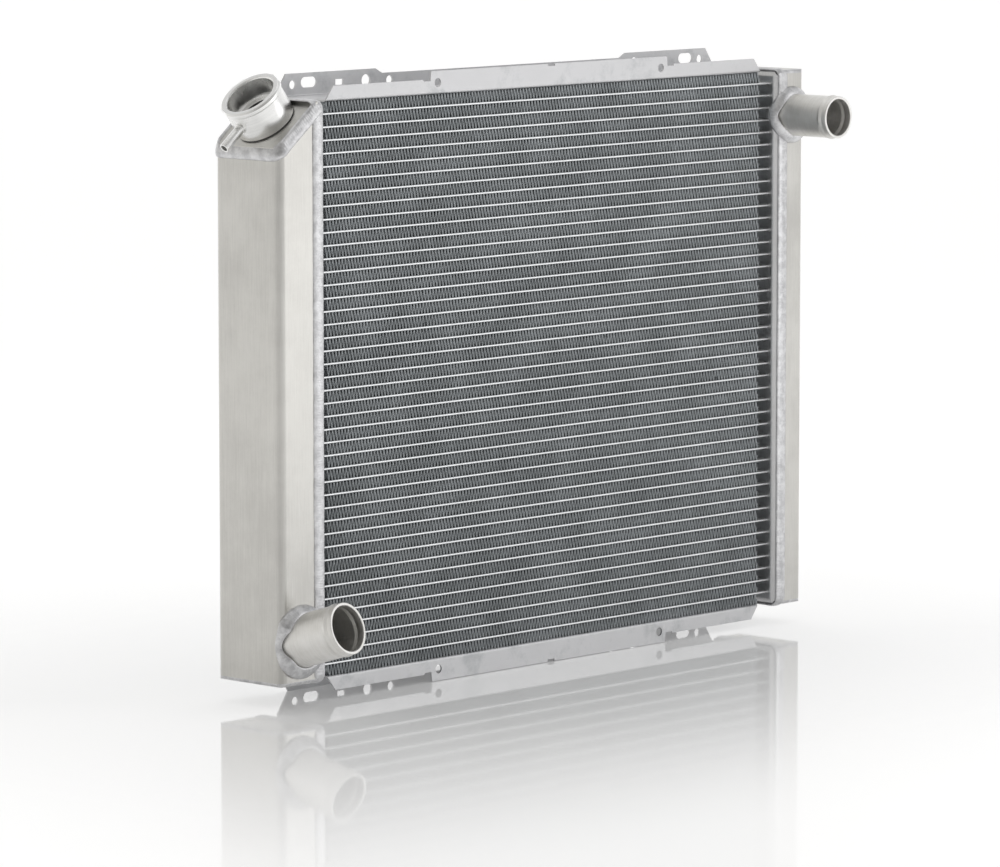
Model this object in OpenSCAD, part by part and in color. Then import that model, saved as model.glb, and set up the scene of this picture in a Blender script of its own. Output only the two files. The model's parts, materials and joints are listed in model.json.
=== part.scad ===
// Crossflow car radiator in welded aluminium: a brazed two-row tube and fin core between two
// header plates, a wide and a narrow side tank, two side channels, two hose necks, a filler
// neck with an overflow nipple, and a drain cock.
// Millimetres, +Z up. X runs across the core from the wide tank to the narrow one, and the
// hose necks point to -Y. The origin is the middle of the footprint, on the ground.

/* [Core] */
// Width of the core between the two header plates
core_w = 584.2; // [480:0.1:720]
// Depth of the core, front to back
core_depth = 57.15; // [54:0.05:72]
// Number of flat tubes in each row
tube_count = 43; // [30:1:54]
// Distance between neighbouring tubes of a row
tube_pitch = 11.1125; // [9.5:0.0125:14]
// Thickness of a flat tube
tube_t = 1.8; // [1.4:0.1:2.4]
// Width of a flat tube
tube_w = 25.4; // [20:0.1:26]
// Wall of a flat tube
tube_wall = 0.35; // [0.25:0.05:0.5]
// Bare tube between the fins and each header plate
fin_end_gap = 10.6; // [4:0.1:16]
// Length of one whole wave of a fin strip
fin_wave = 38.1; // [26:0.01:50]
// Width of the flat on each crest of a fin strip
fin_crest = 1.2; // [0.6:0.1:2]
// Thickness of the fin strip, measured straight up
fin_sheet = 0.5; // [0.3:0.05:0.8]

/* [Header plates] */
// Thickness of a header plate
header_t = 2.3; // [1.6:0.1:3]
// How far the header plate's rim reaches away from the core
pan_depth = 8; // [7:0.1:12]
// Outer radius of the bend between the header plate and its rim
pan_bend_r = 6.5; // [4:0.1:6.8]
// Radius of the header plate's four corners
pan_corner_r = 10; // [8:0.1:14]
// How far a tube stands out of the header plate inside the tank
tube_proud = 3; // [1:0.1:4]
// Gap filled with braze around a tube in its slot
braze_gap = 0.02; // [0.01:0.01:0.05]

/* [Tanks] */
// Width of the wide tank, from the header plate's core side
wide_tank_w = 54.3; // [48:0.1:80]
// Width of the narrow tank, from the header plate's core side
narrow_tank_w = 39.2; // [39:0.1:60]
// Depth of both tanks, front to back
tank_depth = 77; // [74:0.1:100]
// Sheet thickness of the tanks
sheet_t = 3; // [2:0.1:3.5]
// Outer radius of the tanks' vertical bends
tank_bend_r = 8; // [6:0.1:10]
// How far a tank stands past the core, above and below
tank_over = 1.8; // [0:0.1:10]
// Slope of the wide tank's top plate
slope_deg = 38.7; // [30:0.1:42]
// Radius of the dressed welds along the tank ends
dressed_r = 3.4; // [2.5:0.1:4]

/* [Welds] */
// Width of the header weld beads
bead_w = 13; // [8:0.1:13]
// How far a weld bead stands proud of the sheet
bead_h = 1.6; // [0.8:0.1:2]
// Height of the bead around the sloped top plate
top_bead_w = 8; // [5:0.1:10]

/* [Side channels] */
// Sheet thickness of the side channels
channel_t = 1.6; // [1.2:0.1:2]
// Outer bend radius of the side channels
channel_bend_r = 2.6; // [2.2:0.1:4]
// How far a side channel stands behind the core
channel_back = 2; // [0:0.1:4]
// Distance of a side channel's web from the core's end
channel_in = 11.1; // [5:0.1:40]
// Height of the mounting tabs from the core
tab_h = 20.6; // [19:0.1:26]
// Height of the rear flange between its tabs
rear_mid_h = 16.4; // [12:0.1:18]
// Height of the front flange in the middle
front_mid_h = 20; // [16:0.1:20.6]
// Height of the front flange at its ends
front_end_h = 13; // [10:0.1:15]
// Distance of the raised middle from the core's end
mid_in = 139.1; // [132:0.1:170]
// Distance of the round tab hole from the core's end
tab_hole_in = 30.1; // [29:0.1:42]
// Diameter of the round tab hole
tab_hole_d = 7.5; // [5:0.1:9]
// Distance of the tab slot from the core's end
tab_slot_in = 49.6; // [48:0.1:52]
// Length of the tab slot
tab_slot_w = 19; // [12:0.1:20]
// Width of the tab slot
tab_slot_h = 9; // [6:0.1:10]
// Distance of the rectangular clip hole from the core's end
clip_hole_in = 86.6; // [80:0.1:92]
// Distance of the large round hole from the core's end
wide_hole_in = 119.1; // [112:0.1:124]
// Diameter of the large round hole
wide_hole_d = 10.5; // [8:0.1:11]
// Distance of the inner round holes from the core's end, on both flanges
inner_hole_in = 148.1; // [146:0.1:162]
// Diameter of the inner round holes
inner_hole_d = 7.8; // [5:0.1:9]

/* [Hose necks] */
// Outer diameter of the upper hose neck
upper_neck_d = 38.1; // [32:0.05:38.1]
// Length of the upper hose neck in front of the tank
upper_neck_len = 56; // [40:0.1:80]
// Distance of the upper neck from the header plate's core side
upper_neck_in = 20; // [19.8:0.1:20.2]
// Distance of the upper neck below the tank's top
upper_neck_down = 41; // [36:0.1:200]
// Outer diameter of the lower hose neck
lower_neck_d = 44.45; // [38.1:0.05:45]
// Length of the lower hose neck along its axis
lower_neck_len = 53; // [40:0.1:80]
// Distance of the lower neck from the header plate's core side
lower_neck_in = 29.8; // [28:0.1:31]
// Distance of the lower neck above the tank's bottom
lower_neck_up = 37.2; // [37:0.1:200]
// Upward tilt of the lower neck
lower_lift_deg = 17.5; // [0:0.1:25]
// Turn of the lower neck towards the core
lower_yaw_deg = 6; // [0:0.1:10]
// Wall of the hose necks
neck_wall = 2.5; // [1.6:0.1:3]
// Distance from a hose neck's end to the middle of its hose bead
hose_bead_in = 7.5; // [5:0.1:12]
// Radius of the hose bead's round section
hose_bead_r = 1.6; // [1:0.1:2]

/* [Filler neck] */
// Outer diameter of the filler neck's body
filler_d = 52; // [50:0.1:54]
// Bore of the filler neck, which takes the pressure cap
filler_bore_d = 42.8; // [40:0.1:44]
// Height of the filler neck along its axis
filler_h = 31; // [28:0.1:40]
// Diameter of the cap seat's opening
seat_d = 32; // [28:0.1:34]
// Depth of the cap seat below the rim
seat_depth = 19; // [16:0.1:20]
// Diameter of the rim flange
rim_d = 55; // [54.5:0.1:58]
// Distance of the neck's axis down the slope
filler_run = 28.5; // [28:0.1:30]
// Outer diameter of the overflow nipple
nipple_d = 8.5; // [6:0.1:10]
// Bore of the overflow nipple
nipple_bore_d = 5.5; // [3:0.1:5.8]
// Reach of the overflow nipple from the neck's axis
nipple_reach = 51; // [36:0.1:60]
// Height of the overflow nipple above the top plate
nipple_up = 15.5; // [15:0.1:17]
// Turn of the overflow nipple towards the back
nipple_turn_deg = 0; // [-20:1:40]

/* [Drain cock] */
// Height of the drain cock above the tank's bottom
drain_up = 30; // [28:0.1:60]
// Diameter of the drain boss
boss_d = 24; // [22:0.1:26]
// Height of the drain boss
boss_h = 8; // [7:0.1:12]
// Diameter of the drain cock's threaded shank
shank_d = 13.2; // [12.5:0.1:14]
// Width across flats of the drain cock's hexagon
hex_af = 17; // [16:0.1:19]
// Diameter of the spindle
spindle_d = 6; // [5:0.1:6.4]
// Running clearance around the spindle
spindle_gap = 0.05; // [0.02:0.01:0.1]
// Length of the spindle's cross handle
handle_len = 26; // [20:0.1:32]

/* [Hidden] */
$fn = 64;

// Longer than any cut needs to be
far = 400;
// Overshoot of a cut past the face it opens
eps = 1;

// Heights
fin_h = tube_pitch - tube_t;
core_h = (tube_count + 1) * fin_h + tube_count * tube_t;
core_z0 = tab_h;
core_z1 = core_z0 + core_h;
tank_z0 = core_z0 - tank_over;
tank_z1 = core_z1 + tank_over;

// Distances across the core
header_x = core_w / 2;
joint_x = header_x + pan_depth;
fin_len = core_w - 2 * fin_end_gap;
row_y = (core_depth - tube_w) / 2;
front_y = -tank_depth / 2;

// Side channels, kept at their distances from the core's ends
channel_half = header_x - channel_in;
mid_half = header_x - mid_in;
tab_hole_x = header_x - tab_hole_in;
tab_slot_x = header_x - tab_slot_in;
clip_hole_x = header_x - clip_hole_in;
wide_hole_x = header_x - wide_hole_in;
inner_hole_x = header_x - inner_hole_in;

// Hose necks, filler neck and nipple
upper_x = header_x + upper_neck_in;
upper_z = tank_z1 - upper_neck_down;
lower_x = -(header_x + lower_neck_in);
lower_z = tank_z0 + lower_neck_up;
filler_x = -(joint_x + filler_run * cos(slope_deg));
filler_z = tank_z1 - filler_run * sin(slope_deg);
spigot_r = seat_d / 2 + 4.5;
upper_weld_r = upper_neck_d / 2 + 6;
lower_weld_r = lower_neck_d / 2 + 9;
neck_weld_h = 6;

// Drain cock, along +Y from the narrow tank's back
drain_x = header_x + narrow_tank_w / 2;
drain_z = tank_z0 + drain_up;
drain_y = tank_depth / 2;
boss_weld_r = boss_d / 2 + 3;
boss_weld_h = 3;
shank_gap = 0.05;
seat_y = 4;
seal_t = 2;
seal_r = 3.8;
chamber_r = 4.2;
chamber_end = 11;
hex_h = 8;
cock_h = boss_h + hex_h + 3;
hub_y = cock_h + 1;
hub_h = 7;
spout_len = 16;

// The footprint's middle, from the reach of the outermost pieces
nipple_dir = [-cos(slope_deg) * cos(nipple_turn_deg), sin(nipple_turn_deg)];
nipple_tip_x = filler_x - nipple_up * sin(slope_deg) + nipple_dir[0] * nipple_reach;
reach_x0 = nipple_tip_x - nipple_d / 2 * sqrt(1 - pow(nipple_dir[0], 2));
reach_x1 = header_x + narrow_tank_w;
lower_end_y = front_y - lower_neck_len * cos(lower_lift_deg) * cos(lower_yaw_deg);
lower_fan = sqrt(1 - pow(cos(lower_lift_deg) * cos(lower_yaw_deg), 2));
reach_y0 = min(front_y - upper_neck_len, lower_end_y - lower_neck_d / 2 * lower_fan);
reach_y1 = drain_y + hub_y + hub_h;
foot_x = (reach_x0 + reach_x1) / 2;
foot_y = (reach_y0 + reach_y1) / 2;

// Colours
bright = [0.86, 0.87, 0.87];
satin = [0.72, 0.72, 0.69];
weld = [0.9, 0.9, 0.93];
slate = [0.38, 0.41, 0.43];
brassy = [0.78, 0.62, 0.32];

// Moves a piece from the core's middle to the footprint's middle
module placed() {
    translate([-foot_x, -foot_y, 0]) children();
}

// Outline in Y and Z, carried along X
module along_x(h) {
    rotate([90, 0, 90]) linear_extrude(height = h, center = true) children();
}

// Outline in X and Z, carried along Y
module along_y(h) {
    rotate([90, 0, 0]) linear_extrude(height = h, center = true) children();
}

// Outline in X and Y, carried from z0 to z1
module along_z(z0, z1) {
    translate([0, 0, z0]) linear_extrude(height = z1 - z0) children();
}

// Bar with round sides
module stadium(w, t) {
    square([w - t, t], center = true);
    for (s = [-1, 1]) translate([s * (w - t) / 2, 0]) circle(d = t);
}

// Rectangle with round corners, from its low corner
module round_rect(w, h, r) {
    translate([r, 0]) square([w - 2 * r, h]);
    translate([0, r]) square([w, h - 2 * r]);
    for (x = [r, w - r], y = [r, h - r]) translate([x, y]) circle(r = r);
}

// Straight edge on x = 0 and round corners at x = w
module d_shape(w, d, r) {
    translate([0, -d / 2]) square([w - r, d]);
    translate([0, r - d / 2]) square([w, d - 2 * r]);
    intersection() {
        for (s = [-1, 1]) translate([w - r, s * (d / 2 - r)]) circle(r = r);
        translate([0, -d / 2]) square([w, d]);
    }
}

// Solid shape of a header pan, inset by a wall and open past its rim
module pan_solid(wall = 0) {
    r = pan_bend_r - wall;
    w = pan_depth - wall + (wall > 0 ? eps : 0);
    h = tank_z1 - tank_z0 - 2 * wall;
    d = tank_depth - 2 * wall;
    intersection() {
        translate([joint_x + w - pan_depth + wall, 0, 0]) mirror([1, 0, 0])
            along_z(tank_z0 + wall, tank_z1 - wall) d_shape(w, d, r);
        translate([joint_x + w - pan_depth + wall, 0, (tank_z0 + tank_z1) / 2])
            mirror([1, 0, 0]) along_y(d) d_shape(w, h, r);
        translate([header_x, 0, 0]) along_x(far)
            translate([-d / 2, tank_z0 + wall]) round_rect(d, h, pan_corner_r - wall);
    }
}

// Solid shape of a tank beyond the joint, with its end edges rounded
module tank_solid(w, wall = 0) {
    out_w = w - pan_depth - wall;
    d = tank_depth - 2 * wall;
    h = tank_z1 - tank_z0;
    intersection() {
        translate([joint_x, 0, 0]) along_z(tank_z0, tank_z1) d_shape(out_w, d, tank_bend_r - wall);
        translate([joint_x, 0, (tank_z0 + tank_z1) / 2]) along_y(far) d_shape(out_w, h, dressed_r);
        along_x(3 * far) translate([-d / 2, tank_z0]) round_rect(d, h, dressed_r);
    }
}

// The hollow inside a tank
module tank_hollow(w) {
    translate([joint_x - eps, 0, 0]) along_z(tank_z0 - eps, tank_z1 + eps)
        d_shape(w - pan_depth - sheet_t + eps, tank_depth - 2 * sheet_t, tank_bend_r - sheet_t);
}

// Half space above the sloped plane, t below the top plate's face
module above_slope(t) {
    translate([-joint_x, 0, tank_z1]) rotate([0, -slope_deg, 0])
        translate([-far / 2, 0, far / 2 - t]) cube([2 * far, far, far], center = true);
}

// A header pan and tank as one solid, on the narrow side
module narrow_envelope() {
    pan_solid();
    tank_solid(narrow_tank_w);
}

// The same on the wide side, under the slope
module wide_envelope(proud = 0) {
    difference() {
        mirror([1, 0, 0]) {
            pan_solid();
            along_z(tank_z0, tank_z1) translate([joint_x, 0])
                d_shape(wide_tank_w - pan_depth + proud, tank_depth + 2 * proud, tank_bend_r + proud);
        }
        above_slope(0);
    }
}

// Frames of the necks, each with +Z along the neck
module at_upper_neck() {
    translate([upper_x, front_y, upper_z]) rotate([90, 0, 0]) children();
}

module at_lower_neck() {
    translate([lower_x, front_y, lower_z]) rotate([90 - lower_lift_deg, 0, lower_yaw_deg])
        children();
}

module at_filler() {
    translate([filler_x, 0, filler_z]) rotate([0, -slope_deg, 0]) children();
}

module at_nipple() {
    at_filler() translate([0, 0, nipple_up]) rotate([0, 0, 180 - nipple_turn_deg])
        rotate([0, 90, 0]) children();
}

module at_drain() {
    translate([drain_x, drain_y, drain_z]) rotate([-90, 0, 0]) children();
}

// Slots for both rows of tubes
module tube_slots() {
    for (i = [1 : tube_count], s = [-1, 1])
        translate([header_x, s * row_y, core_z0 + i * tube_pitch - tube_t / 2])
            along_x(4 * pan_depth) stadium(tube_w + 2 * braze_gap, tube_t + 2 * braze_gap);
}

module header_pan() {
    difference() {
        pan_solid();
        pan_solid(header_t);
        tube_slots();
    }
}

// One row of hollow flat tubes
module tube_row(y) {
    for (i = [1 : tube_count])
        translate([0, y, core_z0 + i * tube_pitch - tube_t / 2])
            along_x(core_w + 2 * (header_t + tube_proud)) difference() {
                stadium(tube_w, tube_t);
                stadium(tube_w - 2 * tube_wall, tube_t - 2 * tube_wall);
            }
}

// Upper line of a fin strip, as a wave with flat crests
fin_halves = round(fin_len / (fin_wave / 2));
fin_step = (fin_len - fin_crest) / fin_halves;
function fin_edge(drop) = [for (i = [0 : fin_halves], s = [-1, 1])
    [i * fin_step - (fin_len - fin_crest) / 2 + s * fin_crest / 2,
        (i % 2 == 0 ? fin_sheet : fin_h) - drop]];
function reversed(list) = [for (i = [len(list) - 1 : -1 : 0]) list[i]];

module fin_strip() {
    along_y(core_depth) polygon(concat(fin_edge(0), reversed(fin_edge(fin_sheet))));
}

// Outline of the front flange, mirrored about the middle
front_half = [[channel_half, 0], [channel_half - 10, front_end_h], [mid_half + 9, front_end_h],
    [mid_half + 8, front_end_h - 1.5], [mid_half, front_end_h - 1.5],
    [mid_half - 1, front_mid_h], [4.5, front_mid_h], [4.5, front_mid_h - 2]];

// Outline of the rear flange with its mounting tabs
rear_half = [[channel_half + 3, 0], [channel_half - 11, tab_h], [mid_half + 8, tab_h],
    [mid_half, rear_mid_h]];

function both_sides(half) =
    concat(half, reversed([for (p = half) [-p[0], p[1]]]));

module flange_holes() {
    hole_z = tab_h - 9.6;
    for (s = [-1, 1]) translate([0, 0, hole_z]) {
        translate([s * inner_hole_x, 0, -1]) rotate([90, 0, 0])
            cylinder(d = inner_hole_d, h = far, center = true);
        translate([s * tab_hole_x, far / 2, 0]) rotate([90, 0, 0])
            cylinder(d = tab_hole_d, h = far, center = true);
        translate([s * wide_hole_x, far / 2, 0]) rotate([90, 0, 0])
            cylinder(d = wide_hole_d, h = far, center = true);
        translate([s * tab_slot_x, far / 2, 1.5]) along_y(far) stadium(tab_slot_w, tab_slot_h);
        translate([s * clip_hole_x, far / 2, 0]) cube([9.5, far, 5], center = true);
    }
}

// A side channel standing up from z = 0, which is the core's face
module side_channel() {
    w = core_depth + channel_back;
    difference() {
        intersection() {
            along_x(3 * far) translate([-core_depth / 2, 0]) difference() {
                round_rect(w, 2 * tab_h, channel_bend_r);
                translate([channel_t, channel_t])
                    round_rect(w - 2 * channel_t, 2 * tab_h, channel_bend_r - channel_t);
            }
            union() {
                translate([0, -far / 2, 0]) along_y(far) polygon(both_sides(front_half));
                translate([0, far / 2, 0]) along_y(far) polygon(both_sides(rear_half));
            }
        }
        flange_holes();
    }
}

// A tube along +Z with a hose bead near its end, starting well inside the tank
module hose_neck(d, length, inside) {
    rotate_extrude() difference() {
        union() {
            translate([0, -inside]) square([d / 2, length + inside]);
            translate([d / 2 - hose_bead_r / 2, length - hose_bead_in]) circle(r = hose_bead_r);
        }
        translate([-eps, -inside - eps]) square([d / 2 - neck_wall + eps, length + inside + 2 * eps]);
        translate([-far, -far / 2]) square([far, far]);
    }
}

module left_header_plate() {
    color(bright) placed() difference() {
        mirror([1, 0, 0]) header_pan();
        above_slope(0);
    }
}

module right_header_plate() {
    color(bright) placed() difference() {
        header_pan();
        at_upper_neck() cylinder(d = upper_neck_d - 2 * neck_wall, h = 12, center = true);
    }
}

module left_tank_shell() {
    color(satin) placed() difference() {
        mirror([1, 0, 0]) difference() {
            tank_solid(wide_tank_w);
            tank_hollow(wide_tank_w);
            translate([0, 0, tank_z0 + dressed_r - far]) cube([3 * far, far, 2 * far], center = true);
        }
        above_slope(sheet_t);
        at_lower_neck() translate([0, 0, -14]) cylinder(d = lower_neck_d - 2 * neck_wall, h = 24);
    }
}

module left_tank_top_plate() {
    color(satin) placed() difference() {
        intersection() {
            mirror([1, 0, 0]) translate([joint_x, 0, 0]) along_z(tank_z0, tank_z1)
                d_shape(wide_tank_w - pan_depth, tank_depth, tank_bend_r);
            above_slope(sheet_t);
        }
        above_slope(0);
        at_filler() cylinder(r = spigot_r, h = 4 * sheet_t, center = true);
    }
}

// A flat plate between the dressed welds of a tank's end
module end_plate(w, z) {
    inset = dressed_r;
    translate([joint_x, 0, 0]) along_z(z, z + sheet_t)
        d_shape(w - pan_depth - inset, tank_depth - 2 * inset, tank_bend_r - inset);
}

// The dressed weld along a tank's end, around its plate
module end_weld(w, z, plate_z) {
    difference() {
        intersection() {
            tank_solid(w);
            translate([0, 0, z + dressed_r / 2]) cube([3 * far, far, dressed_r], center = true);
        }
        end_plate(w, plate_z);
        translate([joint_x - eps, 0, 0]) along_z(z - eps, z + dressed_r + eps)
            d_shape(w - pan_depth - dressed_r + eps, tank_depth - 2 * dressed_r,
                tank_bend_r - dressed_r);
    }
}

module left_tank_bottom_plate() {
    color(satin) placed() mirror([1, 0, 0]) end_plate(wide_tank_w, tank_z0);
}

module right_tank_shell() {
    color(bright) placed() difference() {
        intersection() {
            tank_solid(narrow_tank_w);
            along_z(tank_z0 + dressed_r, tank_z1 - dressed_r) square(3 * far, center = true);
        }
        tank_hollow(narrow_tank_w);
        at_upper_neck() cylinder(d = upper_neck_d - 2 * neck_wall, h = 12, center = true);
        at_drain() cylinder(d = shank_d, h = 4 * sheet_t, center = true);
    }
}

module right_tank_top_plate() {
    color(bright) placed() end_plate(narrow_tank_w, tank_z1 - sheet_t);
}

module right_tank_bottom_plate() {
    color(bright) placed() end_plate(narrow_tank_w, tank_z0);
}

module front_tubes() {
    color(bright) placed() tube_row(-row_y);
}

module rear_tubes() {
    color(bright) placed() tube_row(row_y);
}

module fin_strips() {
    color(slate) placed() for (i = [0 : tube_count])
        translate([0, 0, core_z0 + i * tube_pitch]) fin_strip();
}

module top_side_channel() {
    color(bright) placed() translate([0, 0, core_z1]) side_channel();
}

module bottom_side_channel() {
    color(bright) placed() translate([0, 0, core_z0]) mirror([0, 0, 1]) side_channel();
}

module upper_hose_neck() {
    color(satin) placed() difference() {
        at_upper_neck() hose_neck(upper_neck_d, upper_neck_len, 14);
        narrow_envelope();
    }
}

module lower_hose_neck() {
    color(satin) placed() difference() {
        at_lower_neck() hose_neck(lower_neck_d, lower_neck_len, 14);
        wide_envelope();
    }
}

// Half section of the filler neck: a cap rim over a groove, a cap seat, and a spigot below
module filler_section() {
    rim_t = 4.5;
    seat_z = filler_h - seat_depth;
    seat_t = 2.5;
    polygon([
        [spigot_r - 2.5, -sheet_t - 2], [spigot_r, -sheet_t - 2], [spigot_r, 0], [filler_d / 2, 0],
        [filler_d / 2, filler_h - rim_t - 1], [filler_d / 2 - 0.8, filler_h - rim_t - 1],
        [filler_d / 2 - 0.8, filler_h - rim_t], [rim_d / 2, filler_h - rim_t],
        [rim_d / 2, filler_h - 1], [rim_d / 2 - 1, filler_h],
        [filler_bore_d / 2 + 1, filler_h], [filler_bore_d / 2, filler_h - 1],
        [filler_bore_d / 2, seat_z], [seat_d / 2, seat_z], [seat_d / 2, seat_z - seat_t],
        [spigot_r - 2.5, seat_z - seat_t]
    ]);
}

module filler_neck() {
    notch_w = 13;
    color(bright) placed() difference() {
        at_filler() rotate_extrude() filler_section();
        at_nipple() cylinder(d = nipple_d, h = filler_d);
        at_filler() rotate([0, 0, 60]) for (s = [-1, 1])
            translate([s * rim_d / 2, 0, filler_h]) cube([3, notch_w, 12], center = true);
    }
}

module overflow_nipple() {
    start = filler_bore_d / 2 + 0.8;
    collar = filler_d / 2;
    color(bright) placed() at_nipple() difference() {
        union() {
            translate([0, 0, start]) cylinder(d = nipple_d, h = nipple_reach - start);
            translate([0, 0, collar + 0.6]) cylinder(d = nipple_d + 1.6, h = 2.2);
        }
        cylinder(d = nipple_bore_d, h = nipple_reach + eps);
    }
}

// Bead outline over a joint, centred where it crosses the sheet
bead_r = (pow(bead_w / 2, 2) + pow(bead_h, 2)) / (2 * bead_h);

// Beads down the front and back of a joint, between the header plate's corners
module joint_beads() {
    difference() {
        for (s = [-1, 1])
            translate([joint_x, s * (tank_depth / 2 + bead_h - bead_r), tank_z0 + pan_corner_r])
                cylinder(r = bead_r, h = tank_z1 - tank_z0 - 2 * pan_corner_r);
        translate([joint_x - bead_w / 2 - far, -far / 2, 0]) cube([far, far, 2 * far]);
    }
}

module left_header_weld() {
    color(weld) placed() difference() {
        mirror([1, 0, 0]) joint_beads();
        wide_envelope();
        above_slope(top_bead_w);
        at_lower_neck() cylinder(r = lower_weld_r, h = 4 * bead_w, center = true);
    }
}

module right_header_weld() {
    color(weld) placed() difference() {
        joint_beads();
        narrow_envelope();
        at_upper_neck() cylinder(r = upper_weld_r, h = 4 * bead_w, center = true);
        at_drain() cylinder(r = boss_weld_r, h = 4 * bead_h, center = true);
    }
}

module left_top_weld() {
    color(weld) placed() difference() {
        intersection() {
            mirror([1, 0, 0]) translate([joint_x, 0, 0]) along_z(tank_z0, tank_z1)
                d_shape(wide_tank_w - pan_depth + bead_h, tank_depth + 2 * bead_h,
                    tank_bend_r + bead_h);
            above_slope(top_bead_w);
        }
        above_slope(0);
        mirror([1, 0, 0]) translate([joint_x - eps, 0, 0]) along_z(tank_z0, tank_z1 + eps)
            d_shape(wide_tank_w - pan_depth + eps, tank_depth, tank_bend_r);
    }
}

module left_bottom_weld() {
    color(weld) placed() mirror([1, 0, 0]) end_weld(wide_tank_w, tank_z0, tank_z0);
}

module right_top_weld() {
    color(weld) placed() end_weld(narrow_tank_w, tank_z1 - dressed_r, tank_z1 - sheet_t);
}

module right_bottom_weld() {
    color(weld) placed() end_weld(narrow_tank_w, tank_z0, tank_z0);
}

// A cone of weld down a neck onto the sheet, bored for the neck
module neck_weld(neck_d, weld_r) {
    difference() {
        intersection() {
            translate([0, 0, -3 * neck_weld_h])
                cylinder(d1 = neck_d + 8 * neck_weld_h, d2 = neck_d + 2, h = 4 * neck_weld_h);
            translate([0, 0, -3 * neck_weld_h]) cylinder(r = weld_r, h = 6 * neck_weld_h);
        }
        translate([0, 0, -far / 2]) cylinder(d = neck_d, h = far);
    }
}

module upper_neck_weld() {
    color(weld) placed() difference() {
        intersection() {
            at_upper_neck() neck_weld(upper_neck_d, upper_weld_r);
            translate([header_x, front_y - neck_weld_h, 0])
                cube([narrow_tank_w, 2 * neck_weld_h, far * 2]);
        }
        narrow_envelope();
    }
}

module lower_neck_weld() {
    color(weld) placed() difference() {
        intersection() {
            at_lower_neck() neck_weld(lower_neck_d, lower_weld_r);
            translate([-header_x - wide_tank_w - neck_weld_h, front_y - 2 * neck_weld_h, 0])
                cube([wide_tank_w + neck_weld_h - eps, 4 * neck_weld_h, far]);
        }
        mirror([1, 0, 0]) translate([header_x - eps, 0, 0]) along_z(tank_z0, tank_z1)
            d_shape(wide_tank_w + eps, tank_depth, tank_bend_r);
    }
}

// Bead around the spigot, under the top plate
module filler_neck_weld() {
    color(weld) placed() at_filler() translate([0, 0, -sheet_t - 2]) difference() {
        cylinder(r1 = spigot_r + 1, r2 = spigot_r + 3, h = 2);
        translate([0, 0, -eps]) cylinder(r = spigot_r, h = 2 + 2 * eps);
    }
}

module drain_boss() {
    color(bright) placed() at_drain() difference() {
        cylinder(d = boss_d, h = boss_h);
        translate([0, 0, -eps]) cylinder(d = shank_d, h = boss_h + 2 * eps);
    }
}

module drain_boss_weld() {
    color(weld) placed() at_drain() difference() {
        cylinder(r1 = boss_weld_r, r2 = boss_d / 2 + 0.5, h = boss_weld_h);
        translate([0, 0, -eps]) cylinder(d = boss_d, h = boss_weld_h + 2 * eps);
    }
}

// Threaded shank, hexagon, nose and a spout pointing down
module drain_cock_body() {
    color(brassy) placed() at_drain() difference() {
        union() {
            translate([0, 0, -sheet_t]) cylinder(d = shank_d - 2 * shank_gap, h = boss_h + sheet_t);
            translate([0, 0, boss_h]) cylinder(d = hex_af / cos(30), h = hex_h, $fn = 6);
            cylinder(d = spindle_d + 5, h = cock_h);
            translate([0, 0, boss_h + hex_h / 2]) rotate([-90, 0, 0]) cylinder(d = 8, h = spout_len);
        }
        translate([0, 0, -sheet_t - eps]) cylinder(d = 5, h = cock_h);
        translate([0, 0, seat_y]) cylinder(r = chamber_r, h = chamber_end);
        translate([0, 0, seat_y]) cylinder(d = spindle_d + 2 * spindle_gap, h = cock_h);
        translate([0, 0, boss_h + hex_h / 2]) rotate([-90, 0, 0]) cylinder(d = 5, h = spout_len + eps);
    }
}

// Rubber washer that closes the seat
module drain_cock_seal() {
    color([0.1, 0.1, 0.1]) placed() at_drain() translate([0, 0, seat_y]) difference() {
        cylinder(r = seal_r, h = seal_t);
        translate([0, 0, -eps]) cylinder(r = 1.5, h = seal_t + 2 * eps);
    }
}

// Spindle with a pilot in the washer, a hub and a cross handle
module drain_cock_spindle() {
    color(brassy) placed() at_drain() {
        translate([0, 0, seat_y + 0.4]) cylinder(r = 1.4, h = seal_t);
        translate([0, 0, seat_y + seal_t]) cylinder(d = spindle_d, h = hub_y - seat_y - seal_t + eps);
        translate([0, 0, hub_y]) cylinder(d = spindle_d + 4, h = hub_h);
        translate([0, 0, hub_y + hub_h / 2]) rotate([0, 90, 0])
            cylinder(d = 5, h = handle_len, center = true);
        for (s = [-1, 1]) translate([s * handle_len / 2, 0, hub_y + hub_h / 2]) sphere(d = 6);
    }
}

left_header_plate();
right_header_plate();
left_tank_shell();
left_tank_top_plate();
left_tank_bottom_plate();
right_tank_shell();
right_tank_top_plate();
right_tank_bottom_plate();
front_tubes();
rear_tubes();
fin_strips();
top_side_channel();
bottom_side_channel();
upper_hose_neck();
lower_hose_neck();
filler_neck();
overflow_nipple();
left_header_weld();
right_header_weld();
left_top_weld();
left_bottom_weld();
right_top_weld();
right_bottom_weld();
upper_neck_weld();
lower_neck_weld();
filler_neck_weld();
drain_boss();
drain_boss_weld();
drain_cock_body();
drain_cock_seal();
drain_cock_spindle();
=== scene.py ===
import json
import math
import bpy
from mathutils import Matrix, Vector


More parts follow.
